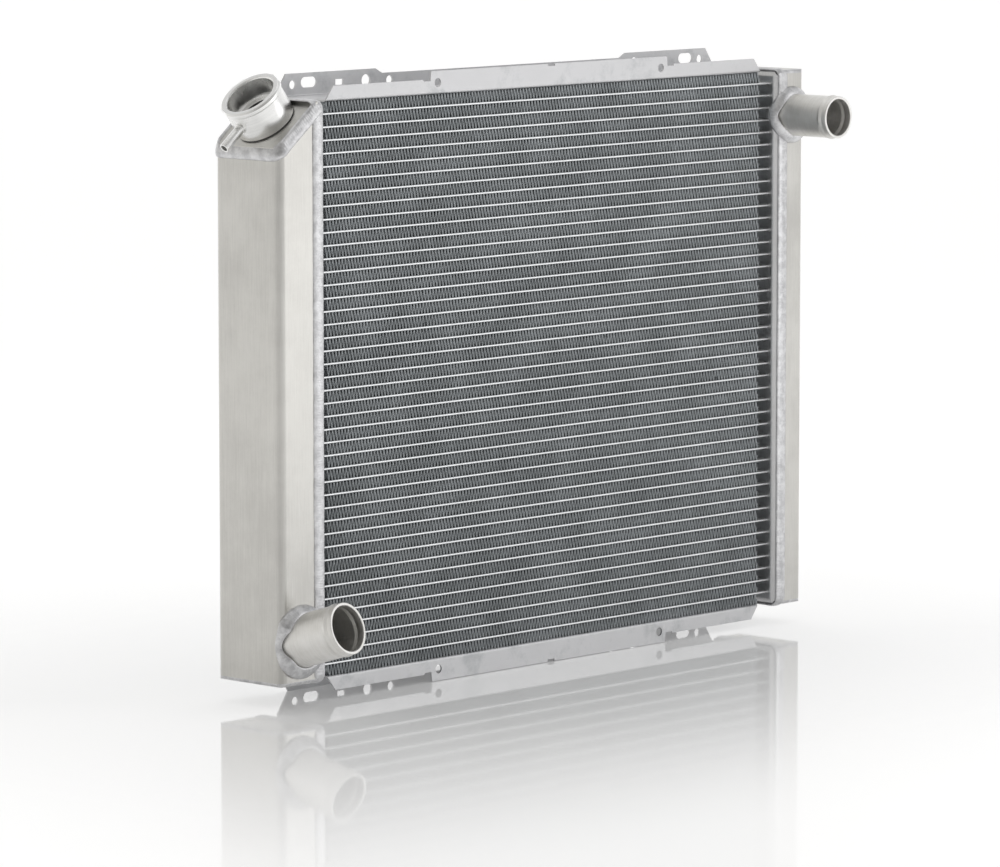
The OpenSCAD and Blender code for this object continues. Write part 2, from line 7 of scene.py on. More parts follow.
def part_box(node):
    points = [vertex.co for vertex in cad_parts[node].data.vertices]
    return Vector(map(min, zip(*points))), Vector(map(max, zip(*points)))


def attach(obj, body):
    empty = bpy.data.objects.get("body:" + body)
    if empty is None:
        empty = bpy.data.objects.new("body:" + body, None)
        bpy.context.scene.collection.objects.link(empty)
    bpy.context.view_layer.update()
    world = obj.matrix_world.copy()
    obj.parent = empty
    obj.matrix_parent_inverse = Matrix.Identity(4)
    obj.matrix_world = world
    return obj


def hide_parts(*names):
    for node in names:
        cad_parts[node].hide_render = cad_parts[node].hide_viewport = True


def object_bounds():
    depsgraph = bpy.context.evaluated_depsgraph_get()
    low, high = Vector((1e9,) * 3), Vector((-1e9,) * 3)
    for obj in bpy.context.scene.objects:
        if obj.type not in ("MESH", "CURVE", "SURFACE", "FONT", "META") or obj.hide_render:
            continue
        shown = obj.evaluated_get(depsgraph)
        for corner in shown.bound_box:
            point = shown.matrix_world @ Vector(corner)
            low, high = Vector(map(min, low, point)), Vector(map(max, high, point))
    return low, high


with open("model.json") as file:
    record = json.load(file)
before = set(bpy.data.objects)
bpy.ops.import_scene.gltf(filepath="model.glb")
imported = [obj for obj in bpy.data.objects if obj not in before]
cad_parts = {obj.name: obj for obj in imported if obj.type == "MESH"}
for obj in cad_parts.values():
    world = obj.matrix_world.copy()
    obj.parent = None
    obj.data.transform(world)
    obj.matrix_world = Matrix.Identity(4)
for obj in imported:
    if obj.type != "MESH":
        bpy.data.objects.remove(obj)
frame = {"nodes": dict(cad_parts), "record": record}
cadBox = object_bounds()
nodes = frame["nodes"]
mounts = {m["name"]: m for m in frame["record"]["mounts"]}
mm = 0.001
print("frame loaded")


class Wire:
    # a socket's value; arithmetic on it adds Math nodes
    def __init__(self, graph, socket):
        self.graph = graph
        self.socket = socket

    def math(self, operation, *others):
        values = dict(enumerate((self,) + others))
        return self.graph.node("ShaderNodeMath", {"operation": operation}, values)

    def __add__(self, other):
        return self.math("ADD", other)

    def __radd__(self, other):
        return self.math("ADD", other)

    def __sub__(self, other):
        return self.math("SUBTRACT", other)

    def __rsub__(self, other):
        return self.graph.number(other).math("SUBTRACT", self)

    def __mul__(self, other):
        return self.math("MULTIPLY", other)

    def __rmul__(self, other):
        return self.math("MULTIPLY", other)

    def __truediv__(self, other):
        return self.math("DIVIDE", other)

    def __rtruediv__(self, other):
        return self.graph.number(other).math("DIVIDE", self)

    def __pow__(self, other):
        return self.math("POWER", other)

    def out(self, name):
        return Wire(self.graph, self.socket.node.outputs[name])


class Graph:
    def __init__(self, tree):
        self.tree = tree

    # one node: its type, its settings first, then the values or links of its sockets
    def node(self, kind, settings=None, sockets=None, out=0):
        made = self.tree.nodes.new(kind)
        for name, value in (settings or {}).items():
            if name == "stops":
                self.fillRamp(made.color_ramp, value)
            else:
                setattr(made, name, value)
        for name, value in (sockets or {}).items():
            if isinstance(value, Wire):
                self.tree.links.new(value.socket, made.inputs[name])
            else:
                made.inputs[name].default_value = value
        return Wire(self, made.outputs[out]) if made.outputs else made

    def fillRamp(self, ramp, stops):
        while len(ramp.elements) < len(stops):
            ramp.elements.new(0.5)
        for element, (place, colour) in zip(ramp.elements, stops):
            element.position = place
            element.color = (*colour, 1) if len(colour) == 3 else colour

    def number(self, value):
        return self.node("ShaderNodeMath", {"operation": "ADD"}, {0: value, 1: 0.0})

    def vector(self, x=0.0, y=0.0, z=0.0):
        return self.node("ShaderNodeCombineXYZ", None, {"X": x, "Y": y, "Z": z})

    def scaled(self, vector, factor):
        return self.node("ShaderNodeVectorMath", {"operation": "SCALE"}, {"Vector": vector, "Scale": factor})

    def vectorMath(self, operation, *values):
        return self.node("ShaderNodeVectorMath", {"operation": operation}, dict(enumerate(values)))

    # 0 below low, 1 above high, smooth between
    def step(self, value, low, high):
        return self.node("ShaderNodeMapRange", {"interpolation_type": "SMOOTHSTEP"},
                         {"Value": value, "From Min": low, "From Max": high})

    def noise(self, place, scale, detail=2.0, roughness=0.5, seed=0.0):
        return self.node("ShaderNodeTexNoise", {"noise_dimensions": "4D"},
                         {"Vector": place, "W": seed, "Scale": scale, "Detail": detail,
                          "Roughness": roughness})

    def mixColour(self, factor, a, b, blend="MIX"):
        return self.node("ShaderNodeMix", {"data_type": "RGBA", "blend_type": blend},
                         {0: factor, 6: a, 7: b}, out=2)


def newMaterial(name):
    material = bpy.data.materials.new(name)
    material.use_nodes = True
    material.node_tree.nodes.clear()
    return material, Graph(material.node_tree)


def closeMaterial(g, sockets):
    shader = g.node("ShaderNodeBsdfPrincipled", None, sockets)
    g.node("ShaderNodeOutputMaterial", None, {"Surface": shader})


def colour(*rgb):
    return (*rgb, 1.0)


def stretched(g, place, x, y, z):
    return g.node("ShaderNodeMapping", None, {"Vector": place, "Scale": (x, y, z)})


# Sheet and cast aluminium: soft clouds, streaks along one direction, small pits and scratches
def aluminium(name, look):
    material, g = newMaterial(name)
    place = g.node("ShaderNodeTexCoord", out="Object")
    clouds = g.noise(place, look["cloudScale"], 4.0, 0.6)
    streaks = g.noise(stretched(g, place, *look["streak"]), look["streakScale"], 3.0, 0.65, 3.0)
    grit = g.noise(place, look["gritScale"], 5.0, 0.7, 7.0)
    scratches = g.noise(stretched(g, place, *look["scratch"]), look["scratchScale"], 1.0, 0.5, 11.0)
    scratch = g.step(scratches, *look["scratchCut"])
    tone = clouds * look["cloud"] + streaks * look["streakTone"] + grit * look["gritTone"]
    base = g.mixColour(g.step(tone, look["low"], look["high"]), colour(*look["dark"]),
                       colour(*look["light"]))
    base = g.mixColour(scratch * look["scratchTone"], base, colour(*look["scratchLight"]))
    rough = look["rough"] + (clouds - 0.5) * look["roughCloud"] + (streaks - 0.5) * look["roughStreak"]
    height = streaks * look["streakBump"] + grit * look["gritBump"] - scratch * look["scratchDeep"]
    bump = g.node("ShaderNodeBump", None,
                  {"Height": height, "Strength": look["bump"], "Distance": look["bumpDepth"]})
    closeMaterial(g, {"Base Color": base, "Metallic": look["metal"], "Roughness": rough, "Normal": bump})
    return material


plain = {
    "cloudScale": 14.0, "streak": (1.0, 1.0, 0.03), "streakScale": 900.0, "gritScale": 420.0,
    "scratch": (1.0, 1.0, 0.12), "cloud": 0.6, "streakTone": 0.3, "gritTone": 0.1,
    "low": 0.35, "high": 0.65, "dark": (0.60, 0.60, 0.59), "light": (0.76, 0.76, 0.75),
    "scratchScale": 160.0, "scratchCut": (0.72, 0.78), "scratchLight": (0.93, 0.93, 0.93),
    "scratchDeep": 0.3, "scratchTone": 0.15, "rough": 0.34, "roughCloud": 0.15, "roughStreak": 0.12,
    "streakBump": 1.0, "gritBump": 0.4, "bump": 0.12, "bumpDepth": 0.3 * mm, "metal": 1.0,
}


def variant(**changes):
    return {**plain, **changes}


sheetMetal = aluminium("tankSheet", variant(dark=(0.54, 0.53, 0.505), light=(0.67, 0.66, 0.63),
                                            rough=0.36))
headerMetal = aluminium("headerSheet", variant(dark=(0.62, 0.62, 0.62), light=(0.76, 0.76, 0.77),
                                               streak=(1.0, 1.0, 0.1)))
channelMetal = aluminium("channelSheet", variant(
    cloudScale=38.0, cloud=0.9, streakTone=0.1, low=0.38, high=0.62, dark=(0.52, 0.53, 0.54),
    light=(0.68, 0.68, 0.69), streak=(0.03, 1.0, 1.0), rough=0.52, gritTone=0.2))
tubeMetal = aluminium("tubeSheet", variant(
    cloudScale=30.0, dark=(0.89, 0.90, 0.91), light=(0.96, 0.97, 0.98), streak=(0.03, 1.0, 1.0),
    rough=0.42))
finMetal = aluminium("finFoil", variant(
    cloudScale=22.0, dark=(0.42, 0.445, 0.46), light=(0.57, 0.60, 0.62), streak=(1.0, 1.0, 0.1),
    rough=0.42, metal=0.9))
weldMetal = aluminium("weldMetal", variant(
    cloudScale=120.0, cloud=0.9, streakTone=0.0, gritTone=0.3, low=0.45, high=0.75,
    dark=(0.52, 0.52, 0.53), light=(0.74, 0.74, 0.75), rough=0.38, roughCloud=0.3,
    streakBump=0.0, gritBump=1.0, bump=0.2))


# Turned aluminium: rings of tool marks along the lathe's own map, which runs round in U and along in V
def turnedAluminium(name, look):
    material, g = newMaterial(name)
    place = g.node("ShaderNodeTexCoord", out="UV")
    spot = g.node("ShaderNodeTexCoord", out="Object")
    axes = g.node("ShaderNodeSeparateXYZ", None, {"Vector": place})
    rings = g.noise(g.vector(axes.out("X") * 2.0, axes.out("Y") * look["rings"], 0.0), 1.0, 3.0, 0.7)
    clouds = g.noise(spot, look["cloudScale"], 4.0, 0.6, 2.0)
    tone = g.step(rings * look["ringTone"] + clouds * (1 - look["ringTone"]), look["low"], look["high"])
    base = g.mixColour(tone, colour(*look["dark"]), colour(*look["light"]))
    rough = look["rough"] + (clouds - 0.5) * look["roughCloud"]
    bump = g.node("ShaderNodeBump", None,
                  {"Height": rings, "Strength": look["bump"], "Distance": look["bumpDepth"]})
    closeMaterial(g, {"Base Color": base, "Metallic": 1.0, "Roughness": rough, "Normal": bump})
    return material


brassMetal = aluminium("drainBrass", variant(
    cloudScale=90.0, streakTone=0.0, gritTone=0.3, dark=(0.42, 0.29, 0.12), light=(0.72, 0.54, 0.26),
    rough=0.36))
sealRubber = aluminium("sealRubber", variant(
    cloudScale=200.0, dark=(0.012, 0.012, 0.012), light=(0.03, 0.03, 0.03), rough=0.6, metal=0.0,
    scratchTone=0.0))
neckMetal = turnedAluminium("neckSatin", {
    "rings": 900.0, "cloudScale": 60.0, "ringTone": 0.45, "low": 0.35, "high": 0.65,
    "dark": (0.77, 0.76, 0.73),
    "light": (0.90, 0.89, 0.87), "rough": 0.46, "roughCloud": 0.15, "bump": 0.35,
    "bumpDepth": 0.05 * mm})
turnedMetal = turnedAluminium("turnedBright", {
    "rings": 1400.0, "cloudScale": 30.0, "ringTone": 0.7, "low": 0.35, "high": 0.65,
    "dark": (0.82, 0.82, 0.81),
    "light": (0.93, 0.93, 0.92), "rough": 0.27, "roughCloud": 0.14, "bump": 0.12,
    "bumpDepth": 0.05 * mm})
# near-black, for the ring at the filler neck's foot: painted contact shadow
jointShade = aluminium("jointShade", variant(
    cloudScale=300.0, dark=(0.05, 0.05, 0.05), light=(0.10, 0.10, 0.10), rough=0.6, metal=0.4,
    scratchTone=0.0))
print("materials made")


def finishPiece(piece, nodeNames, material=None):
    if material:
        piece.data.materials.clear()
        piece.data.materials.append(material)
    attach(piece, "radiator")
    if nodeNames:
        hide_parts(*nodeNames)
    return piece


def meshPiece(name, verts, faces, edges=()):
    mesh = bpy.data.meshes.new(name)
    mesh.from_pydata(verts, edges, faces)
    mesh.validate()
    piece = bpy.data.objects.new(name, mesh)
    bpy.context.scene.collection.objects.link(piece)
    return piece


def smoothShade(mesh, degrees=35):
    mesh.shade_smooth()
    mesh.set_sharp_from_angle(angle=math.radians(degrees))


# An outline's corners rounded: points are (x, y) or (x, y, radius)
def rounded(points, steps=6):
    made = []
    for i, point in enumerate(points):
        if len(point) == 2 or point[2] == 0:
            made.append(Vector(point[:2]))
            continue
        here = Vector(point[:2])
        back = (Vector(points[i - 1][:2]) - here).normalized()
        ahead = (Vector(points[(i + 1) % len(points)][:2]) - here).normalized()
        half = math.acos(max(-1, min(1, back.dot(ahead)))) / 2
        start = here + back * (point[2] / math.tan(half))
        centre = here + (back + ahead).normalized() * (point[2] / math.sin(half))
        arm = start - centre
        turn = (math.pi - 2 * half) * (1 if back.cross(ahead) < 0 else -1)
        for k in range(steps + 1):
            angle = turn * k / steps
            c, s = math.cos(angle), math.sin(angle)
            made.append(centre + Vector((arm.x * c - arm.y * s, arm.x * s + arm.y * c)))
    return made


# A frame whose Z runs along an axis
def axisFrame(origin, axis):
    return Matrix.Translation(origin) @ Vector(axis).to_track_quat("Z", "Y").to_matrix().to_4x4()


# A closed section of (radius, height) points turned round Z of a frame
def lathe(name, section, place, segments=128, squeeze=None):
    verts, faces, spots = [], [], []
    run = [0.0]
    for a, b in zip(section, section[1:] + section[:1]):
        run.append(run[-1] + (b - a).length)
    count = len(section)
    for i in range(segments):
        angle = 2 * math.pi * i / segments
        for r, z in section:
            if squeeze:
                r = squeeze(angle, r, z)
            verts.append(place @ Vector((r * math.cos(angle), r * math.sin(angle), z)))
    for i in range(segments):
        for j in range(count):
            a, b = i * count + j, i * count + (j + 1) % count
            c, d = ((i + 1) % segments) * count + (j + 1) % count, ((i + 1) % segments) * count + j
            faces.append((a, d, c, b))
            spots += [(i / segments, run[j]), ((i + 1) / segments, run[j]),
                      ((i + 1) / segments, run[j + 1]), (i / segments, run[j + 1])]
    mesh = bpy.data.meshes.new(name)
    mesh.from_pydata(verts, [], faces)
    layer = mesh.uv_layers.new(name="lathe")
    for spot, uv in zip(layer.data, spots):
        spot.uv = uv
    smoothShade(mesh)
    piece = bpy.data.objects.new(name, mesh)
    bpy.context.scene.collection.objects.link(piece)
    return piece


class GeometryTree(Graph):
    def __init__(self, name, inputs):
        super().__init__(bpy.data.node_groups.new(name, "GeometryNodeTree"))
        face = self.tree.interface
        self.sockets = {}
        for label, kind in inputs.items():
            socket = face.new_socket(name=label, in_out="INPUT", socket_type="NodeSocket" + kind)
            self.sockets[label] = socket.identifier
        face.new_socket(name="Geometry", in_out="OUTPUT", socket_type="NodeSocketGeometry")
        self.entry = self.tree.nodes.new("NodeGroupInput")

    def given(self, label):
        return Wire(self, self.entry.outputs[label])

    def store(self, geometry, name, value):
        return self.node("GeometryNodeStoreNamedAttribute", {"data_type": "FLOAT", "domain": "POINT"},
                         {"Geometry": geometry, "Name": name, "Value": value})

    def read(self, name):
        return self.node("GeometryNodeInputNamedAttribute", {"data_type": "FLOAT"}, {"Name": name})

    def close(self, geometry, material):
        real = self.node("GeometryNodeRealizeInstances", None, {"Geometry": geometry})
        painted = self.node("GeometryNodeSetMaterial", None, {"Geometry": real, "Material": material})
        self.node("NodeGroupOutput", None, {"Geometry": painted})

    # the tree's result on an object, as a plain mesh of its own
    def bake(self, name, source, values):
        modifier = source.modifiers.new(name, "NODES")
        modifier.node_group = self.tree
        for label, value in values.items():
            modifier[self.sockets[label]] = value
        bpy.context.view_layer.update()
        evaluated = source.evaluated_get(bpy.context.evaluated_depsgraph_get())
        mesh = bpy.data.meshes.new_from_object(evaluated)
        source.modifiers.remove(modifier)
        bpy.data.objects.remove(source)
        piece = bpy.data.objects.new(name, mesh)
        bpy.context.scene.collection.objects.link(piece)
        return piece


fins = {
    "wave": 3.81 * mm, "crest": 0.45 * mm, "foil": 0.1 * mm, "frontCut": 1.6 * mm,
    "wander": 0.35 * mm, "bent": 1.6 * mm, "stripsPerPiece": 11,
    # noise scales of the foil's slow and quick waviness, and where its front edge is knocked
    "slow": 60.0, "quick": 700.0, "knocks": 34.0, "knockCut": (0.66, 0.74), "sway": 500.0, "pushedIn": 0.25,
}


def finTree():
    g = GeometryTree("finStrips", {
        "Geometry": "Geometry", "Half Waves": "Int", "Step": "Float", "Crest": "Float",
        "Height": "Float", "Depth": "Float", "Front Cut": "Float", "Foil": "Float",
        "Strips": "Int", "Pitch": "Float", "Corner": "Vector", "Wander": "Float",
        "Bent": "Float", "Seed": "Int", "Material": "Material"})
    step, crest, height = g.given("Step"), g.given("Crest"), g.given("Height")
    index = g.node("GeometryNodeInputIndex")
    half = (index / 3).math("FLOOR")
    part = index - half * 3
    middle = part.math("COMPARE", 2.0, 0.1)
    top = 1 - half.math("FLOORED_MODULO", 2.0)
    x = half * step + (part - 0.5) * crest * (1 - middle) + middle * step * 0.5
    z = height * (top * (1 - middle) + middle * 0.5)
    line = g.node("GeometryNodeMeshLine", None, {"Count": g.given("Half Waves") * 3})
    line = g.node("GeometryNodeSetPosition", None, {"Geometry": line, "Position": g.vector(x, 0.0, z)})
    path = g.node("GeometryNodeMeshToCurve", None, {"Mesh": line})

    # the foil's section: six points, with a narrow strip behind the front edge
    side = index.math("LESS_THAN", 2.5)
    row = index * side + (5 - index) * (1 - side)
    across = g.given("Depth") * row.math("COMPARE", 2.0, 0.1) + \
        g.given("Front Cut") * row.math("COMPARE", 1.0, 0.1)
    ring = g.node("GeometryNodeMeshCircle", None, {"Vertices": 6})
    ring = g.node("GeometryNodeSetPosition", None, {
        "Geometry": ring, "Position": g.vector(across * -1.0, (side - 0.5) * g.given("Foil"), 0.0)})
    section = g.node("GeometryNodeMeshToCurve", None, {"Mesh": ring})
    foil = g.node("GeometryNodeCurveToMesh", None,
                  {"Curve": path, "Profile Curve": section, "Fill Caps": True})

    # a stack of strips, each shifted a little along its tubes
    stack = g.node("GeometryNodeMeshLine", None, {
        "Count": g.given("Strips"), "Start Location": g.given("Corner"),
        "Offset": g.vector(0.0, 0.0, g.given("Pitch"))})
    strips = g.node("GeometryNodeInstanceOnPoints", None, {"Points": stack, "Instance": foil})
    shift = g.node("FunctionNodeRandomValue", {"data_type": "FLOAT"},
                   {2: 0.0, 3: 1.0, "Seed": g.given("Seed")}, out="Value")
    strips = g.node("GeometryNodeTranslateInstances", None, {
        "Instances": strips, "Translation": g.vector((shift - 0.5) * step, 0.0, 0.0)})
    real = g.node("GeometryNodeRealizeInstances", None, {"Geometry": strips})
    place = g.node("GeometryNodeInputPosition")
    depthIn = g.node("ShaderNodeSeparateXYZ", None, {"Vector": place}).out("Y")
    front = depthIn.math("LESS_THAN",
                         g.node("ShaderNodeSeparateXYZ", None, {"Vector": g.given("Corner")}).out("Y")
                         + g.given("Front Cut") * 0.5)
    slow = g.noise(place, fins["slow"], 2.0, 0.5, 1.0) - 0.5
    quick = g.noise(place, fins["quick"], 1.0, 0.5, 2.0) - 0.5
    knock = g.step(g.noise(place, fins["knocks"], 3.0, 0.7, 5.0), *fins["knockCut"]) * front
    sway = g.noise(place, fins["sway"], 0.0, 0.5, 9.0) - 0.5
    offset = g.vector((slow + quick) * g.given("Wander") + knock * sway * g.given("Bent") * 2,
                      knock * g.given("Bent") * fins["pushedIn"], 0.0)
    moved = g.node("GeometryNodeSetPosition", None, {"Geometry": real, "Offset": offset})
    g.close(moved, g.given("Material"))
    return g


# Distance between tubes and the gap that a fin strip fills, from the tubes' own vertices
def finPitch():
    heights = sorted({round(v.co.z, 6) for v in nodes["front_tubes"].data.vertices})
    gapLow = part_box("fin_strips")[0].z
    height = heights[0] - gapLow
    tubes = [heights[0]]
    for z in heights:
        if z - tubes[-1] > height:
            tubes.append(z)
    return (tubes[-1] - tubes[0]) / (len(tubes) - 1), height


def makeFins():
    low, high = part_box("fin_strips")
    pitch, height = finPitch()
    count = round((high.z - low.z - height) / pitch) + 1
    halves = int((high.x - low.x) / (fins["wave"] / 2)) - 1
    step = fins["wave"] / 2
    slack = (high.x - low.x - halves * step) / 2
    tree = finTree()
    for first in range(0, count, fins["stripsPerPiece"]):
        name = f"fins{first // fins['stripsPerPiece'] + 1}"
        source = meshPiece(name + "Source", [(0, 0, 0)], [])
        piece = tree.bake(name, source, {
            "Half Waves": halves, "Step": step, "Crest": fins["crest"],
            "Height": height - fins["foil"], "Depth": high.y - low.y,
            "Front Cut": fins["frontCut"], "Foil": fins["foil"],
            "Strips": min(fins["stripsPerPiece"], count - first), "Pitch": pitch,
            "Corner": (low.x + slack, low.y, low.z + first * pitch + fins["foil"] / 2),
            "Wander": fins["wander"], "Bent": fins["bent"], "Seed": first, "Material": finMetal})
        finishPiece(piece, ["fin_strips"])
        print(name, len(piece.data.polygons), "faces")


makeFins()
print("fins made")


welds = {
    "step": 0.5 * mm, "around": 18, "ripple": 2.3 * mm, "rippleDepth": 0.22 * mm, "crescent": 2.2 * mm,
    "wander": 0.8 * mm,
    "joint": {"width": 12.5 * mm, "height": 1.5 * mm, "root": 1.2 * mm, "lift": 0.0},
    "plateEdge": {"width": 12 * mm, "height": 2.4 * mm, "root": 2.6 * mm, "lift": -0.8 * mm},
    "upperNeck": {"width": 10 * mm, "height": 1.5 * mm, "root": 4.0 * mm, "lift": 4.6 * mm},
    "lowerNeck": {"width": 12.5 * mm, "height": 1.7 * mm, "root": 5.0 * mm, "lift": 5.6 * mm},
    "jointCorner": 7 * mm, "edgeDrop": 5.2 * mm, "edgeLean": 0.25,
    # a neck's bead keeps this share of its size at the tank's outer side, and all of it this far in
    "slimEnd": 0.3, "slimOver": 9 * mm,
    # noise scales of the ripples' jitter, the lumps and the bead's drift, and how strong they are
    "jitterScale": 90.0, "lumpScale": 210.0, "driftScale": 70.0, "jitter": 3, "lumps": 0.9, "crown": 0.6,
    "seeds": {"left": 3, "right": 5, "top": 7, "lower": 11, "upper": 13},
}


tank = {"bend": 8 * mm, "panBend": 6.5 * mm}  # corner radii of a tank's shell and of a header plate


def beadTree():
    labels = ["Width", "Height", "Root", "Lift", "Step", "Ripple", "Ripple Depth", "Crescent", "Wander"]
    inputs = {"Geometry": "Geometry", **{label: "Float" for label in labels}, "Around": "Int",
              "Seed": "Float", "Material": "Material"}
    g = GeometryTree("weldBead", inputs)
    up = g.node("GeometryNodeInputNamedAttribute", {"data_type": "FLOAT_VECTOR"}, {"Name": "up"})
    path = g.node("GeometryNodeMeshToCurve", None, {"Mesh": g.given("Geometry")})
    path = g.node("GeometryNodeResampleCurve", {"mode": "LENGTH"},
                  {"Curve": path, "Length": g.given("Step")})
    size = g.read("size")
    path = g.node("GeometryNodeSetPosition", None, {
        "Geometry": path, "Offset": g.scaled(up, g.given("Lift") * size)})
    path = g.node("GeometryNodeSetCurveNormal", {"mode": "FREE"}, {"Curve": path, "Normal": up})
    run = g.node("GeometryNodeSplineParameter", out="Length")
    path = g.store(path, "run", run)

    # the bead's section: a flat half ellipse on a shallower root
    index = g.node("GeometryNodeInputIndex")
    angle = index * (2 * math.pi) / g.given("Around")
    across, rise = angle.math("COSINE"), angle.math("SINE")
    above = rise.math("GREATER_THAN", 0.0)
    depth = g.given("Height") * above + g.given("Root") * (1 - above)
    ring = g.node("GeometryNodeMeshCircle", None, {"Vertices": g.given("Around")})
    ring = g.node("GeometryNodeSetPosition", None, {
        "Geometry": ring, "Position": g.vector(rise * depth, across * g.given("Width") * 0.5, 0.0)})
    section = g.node("GeometryNodeMeshToCurve", None, {"Mesh": ring})
    section = g.store(section, "across", across)
    section = g.store(section, "rise", rise)
    bead = g.node("GeometryNodeCurveToMesh", None,
                  {"Curve": path, "Profile Curve": section, "Scale": size, "Fill Caps": True})
    bead = g.node("GeometryNodeFlipFaces", None, {"Mesh": bead})

    across, rise, run = g.read("across"), g.read("rise"), g.read("run")
    place = g.node("GeometryNodeInputPosition")
    jitter = g.noise(place, welds["jitterScale"], 2.0, 0.5, g.given("Seed")) - 0.5
    phase = (run + across * across * g.given("Crescent")) / g.given("Ripple") + jitter * welds["jitter"]
    wave = 1 - (phase.math("FRACT") * 2 - 1) ** 2
    crown = rise.math("MAXIMUM", 0.0) ** welds["crown"]
    lumps = g.noise(place, welds["lumpScale"], 3.0, 0.6, g.given("Seed") + 4) - 0.5
    rough = (wave - 0.5) * g.given("Ripple Depth") + lumps * g.given("Wander") * welds["lumps"]
    lift = crown * rough
    normal = g.node("GeometryNodeInputNormal")
    bead = g.node("GeometryNodeSetPosition", None, {"Geometry": bead, "Offset": g.scaled(normal, lift)})
    drift = g.node("ShaderNodeTexNoise", {"noise_dimensions": "4D"},
                   {"Vector": place, "W": g.given("Seed") + 9, "Scale": welds["driftScale"]},
                   out="Color")
    drift = g.vectorMath("SUBTRACT", drift, (0.5, 0.5, 0.5))
    bead = g.node("GeometryNodeSetPosition", None, {
        "Geometry": bead, "Offset": g.scaled(drift, g.given("Wander"))})
    bead = g.node("GeometryNodeSetShadeSmooth", None, {"Geometry": bead})
    g.close(bead, g.given("Material"))
    return g


beadNodes = beadTree()


def bead(name, kind, path, closed, replaced, seed, slimmed=None):
    points = [p for p, up in path]
    edges = [(i, i + 1) for i in range(len(points) - 1)] + ([(len(points) - 1, 0)] if closed else [])
    source = meshPiece(name + "Path", points, [], edges)
    source.data.attributes.new("up", "FLOAT_VECTOR", "POINT")
    source.data.attributes.new("size", "FLOAT", "POINT")
    for i, (point, up) in enumerate(path):
        source.data.attributes["up"].data[i].vector = up.normalized()
        source.data.attributes["size"].data[i].value = slimmed(point) if slimmed else 1.0
    size = welds[kind]
    piece = beadNodes.bake(name, source, {
        "Width": size["width"], "Height": size["height"], "Root": size["root"], "Lift": size["lift"],
        "Step": welds["step"], "Ripple": welds["ripple"], "Ripple Depth": welds["rippleDepth"],
        "Crescent": welds["crescent"], "Wander": welds["wander"], "Around": welds["around"],
        "Seed": float(seed), "Material": weldMetal})
    low, high = cadBox
    for corner in piece.data.vertices:  # a bead stays within the part's own width
        corner.co.x = min(max(corner.co.x, low[0]), high[0])
    return finishPiece(piece, replaced)


# Round a tank at its joint with the header plate
def jointPath(x, low, high):
    r = welds["jointCorner"]
    corners = [(low.y, low.z, r), (high.y, low.z, r), (high.y, high.z, r), (low.y, high.z, r)]
    outline = rounded(corners)
    path = []
    for i, here in enumerate(outline):
        along = outline[(i + 1) % len(outline)] - outline[i - 1]
        out = Vector((along.y, -along.x))
        middle = Vector(((low.y + high.y) / 2, (low.z + high.z) / 2))
        if out.dot(here - middle) < 0:
            out.negate()
        path.append((Vector((x, here.x, here.y)), Vector((0, out.x, out.y))))
    return path


# Along the three free sides of the sloped plate
def plateEdgePath():
    low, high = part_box("left_tank_shell")
    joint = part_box("left_tank_top_plate")[1].x
    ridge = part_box("left_header_plate")[1].z
    up = Vector(mounts["filler_bore"]["axis"])
    fall = up.x / up.z
    r = tank["bend"]
    outline = rounded([(joint, low.y), (low.x, low.y, r), (low.x, high.y, r), (joint, high.y)])
    path = []
    for i, here in enumerate(outline):
        along = outline[min(i + 1, len(outline) - 1)] - outline[max(i - 1, 0)]
        out = Vector((along.y, -along.x, 0)).normalized()
        if out.dot(Vector((here.x - joint, here.y - (low.y + high.y) / 2, 0))) < 0:
            out.negate()
        edge = Vector((here.x, here.y, ridge + (joint - here.x) * fall))
        path.append((edge - Vector((0, 0, welds["edgeDrop"])), out + up * welds["edgeLean"]))
    return path


# Distance from a tank's outline, and its direction; the low and high X corners have radii of their own
def shellGap(point, low, high, corners):
    middle = (low + high) / 2
    r = corners[0] if point.x < middle.x else corners[1]
    dx, dy = point.x - middle.x, point.y - middle.y
    qx, qy = abs(dx) - (high.x - low.x) / 2 + r, abs(dy) - (high.y - low.y) / 2 + r
    outside = Vector((max(qx, 0), max(qy, 0)))
    gap = outside.length + min(max(qx, qy), 0) - r
    face = outside if outside.length > 0 else Vector((0, 1))
    return gap, Vector((math.copysign(face.x, dx), math.copysign(face.y, dy), 0)).normalized()


# Round a neck where it meets the upright shell of a tank with round corners
def neckPath(mount, radius, low, high, corners, count=96, tries=40):
    axis = Vector(mount["axis"])
    side = Vector((1, 0, 0)) - axis * axis.x
    side.normalize()
    lift = side.cross(axis)
    path = []
    for i in range(count):
        angle = 2 * math.pi * i / count
        out = side * math.cos(angle) + lift * math.sin(angle)
        here = Vector(mount["pos_m"]) + out * radius
        for k in range(tries):
            gap, face = shellGap(here, low, high, corners)
            here -= axis * gap
        path.append((here, out + face))
    return path


def makeWelds():
    for side in ("left", "right"):
        low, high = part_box(side + "_header_plate")
        x = low.x if side == "left" else high.x
        bead(side + "HeaderWeld", "joint", jointPath(x, low, high), True, [side + "_header_weld"],
             welds["seeds"][side])
    bead("leftTopWeld", "plateEdge", plateEdgePath(), False, ["left_top_weld"], welds["seeds"]["top"])
    for side, node, corners in [("left", "lower", (tank["bend"], tank["panBend"])),
                                ("right", "upper", (tank["panBend"], tank["bend"]))]:
        shellLow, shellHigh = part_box(side + "_tank_shell")
        panLow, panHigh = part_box(side + "_header_plate")
        low = Vector((min(shellLow.x, panLow.x), shellLow.y, 0))
        high = Vector((max(shellHigh.x, panHigh.x), shellHigh.y, 0))
        mount = mounts[node + "_hose_spigot"]
        path = neckPath(mount, mount["dims"]["r_mm"] * mm, low, high, corners)

        # the bead thins where it runs over the tank's outer bend
        def slimmed(point, edge=low.x if side == "left" else high.x):
            return min(1.0, welds["slimEnd"] + abs(point.x - edge) / welds["slimOver"])

        bead(node + "NeckWeld", node + "Neck", path, True, [node + "_neck_weld"], welds["seeds"][node],
             slimmed)


